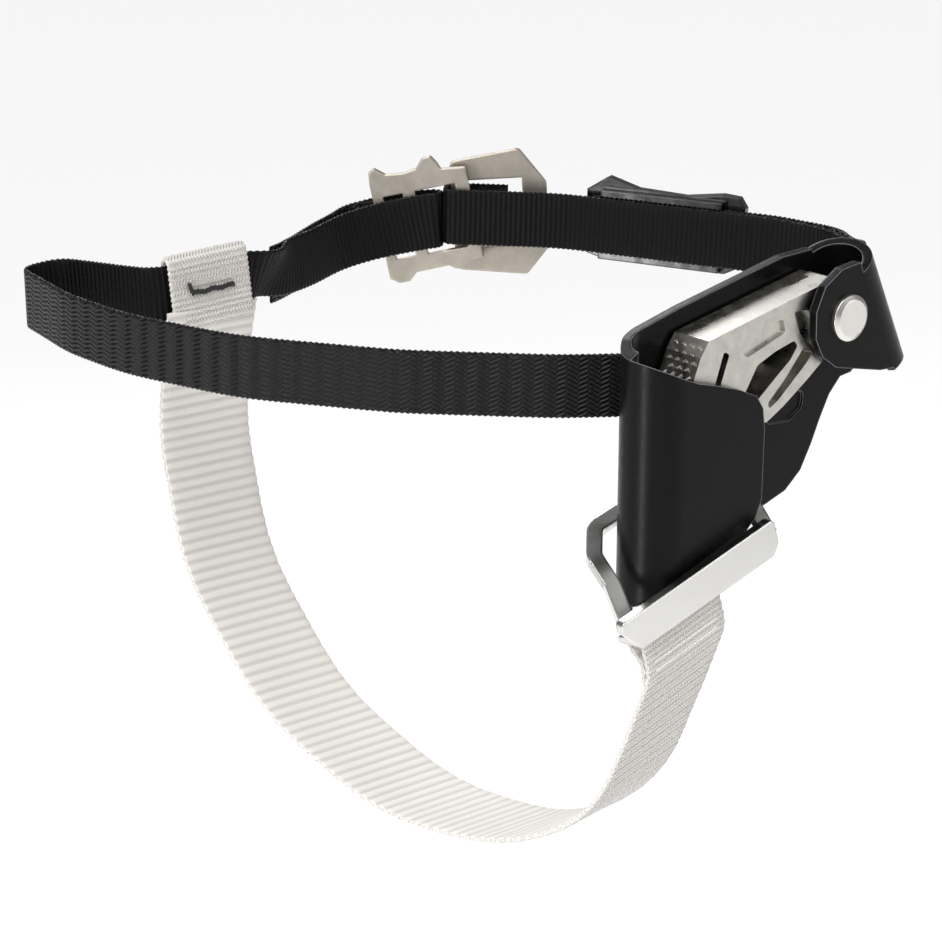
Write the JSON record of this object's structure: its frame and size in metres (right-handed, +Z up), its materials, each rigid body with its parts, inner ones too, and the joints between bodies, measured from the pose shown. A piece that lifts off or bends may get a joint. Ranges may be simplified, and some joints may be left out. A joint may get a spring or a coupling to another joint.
{
  "type": "foot ascender",
  "caption": "Foot-mounted rope clamp: folded plate with a sprung toothed cam, a steel instep link, and webbing straps with a two-part buckle.",
  "frame": {"origin": "on the rope channel's axis at mid height of the folded plate", "axes": "+Z up the rope, +X along the back plate from the channel's spine to the cam's pivot, +Y towards the boot"},
  "size_m": [0.1832, 0.1757, 0.1621],
  "materials": {
    "black_anodised": "satin black anodised",
    "cam_steel": "satin cast stainless",
    "rivet_steel": "turned stainless",
    "link_steel": "polished stainless",
    "buckle_steel": "bead-blasted stainless",
    "spring_steel": "bright spring steel",
    "bush_brass": "turned brass",
    "washer_plastic": "moulded acetal",
    "black_webbing": "woven polyester",
    "white_webbing": "woven polyamide",
    "black_plastic": "glossy moulded polyamide",
    "black_thread": "bonded thread",
    "white_thread": "bonded thread"
  },
  "bodies": {
    "frame": {"frame_plate": "black_anodised", "cam_rivet": "rivet_steel", "rivet_washer": "rivet_steel", "cam_bushing": "bush_brass", "cam_washers": "washer_plastic", "ankle_strap_long": "black_webbing", "ankle_strap_short": "black_webbing", "buckle_base": "buckle_steel", "instep_strap": "white_webbing", "instep_keeper": "white_webbing", "keeper_bartack": "black_thread", "bridge_stitching": "black_thread", "ear_stitching": "black_thread", "tail_stitching": "black_thread"},
    "cam": {"cam": "cam_steel", "cam_spring": "spring_steel"},
    "link": {"instep_link": "link_steel", "instep_link_loop": "white_webbing", "link_stitching": "white_thread"},
    "tension_slider": {"buckle_slider": "buckle_steel"},
    "clip": {"strap_slider": "black_plastic"}
  },
  "joints": [
    {"name": "cam_pivot", "type": "hinge", "parent": "frame", "child": "cam", "pos_m": [0.0543, 0, 0.033], "axis": [0, -1, 0], "range_deg": [0, 38], "stiffness_Nm_per_rad": 0.03, "springref_deg": -28.65},
    {"name": "link_swing", "type": "hinge", "parent": "frame", "child": "link", "pos_m": [0, 0.013, -0.0128], "axis": [0.9516, 0, 0.3074], "range_deg": [0, 4], "deforming": ["instep_strap"]},
    {"name": "slider_slack", "type": "slide", "parent": "frame", "child": "tension_slider", "axis": [0.7354, -0.6471, 0.2008], "range_m": [-0.001, 0.002]},
    {"name": "clip_slide", "type": "slide", "parent": "frame", "child": "clip", "axis": [0.4783, -0.8777, -0.0299], "range_m": [-0.006, 0.004]}
  ]
}
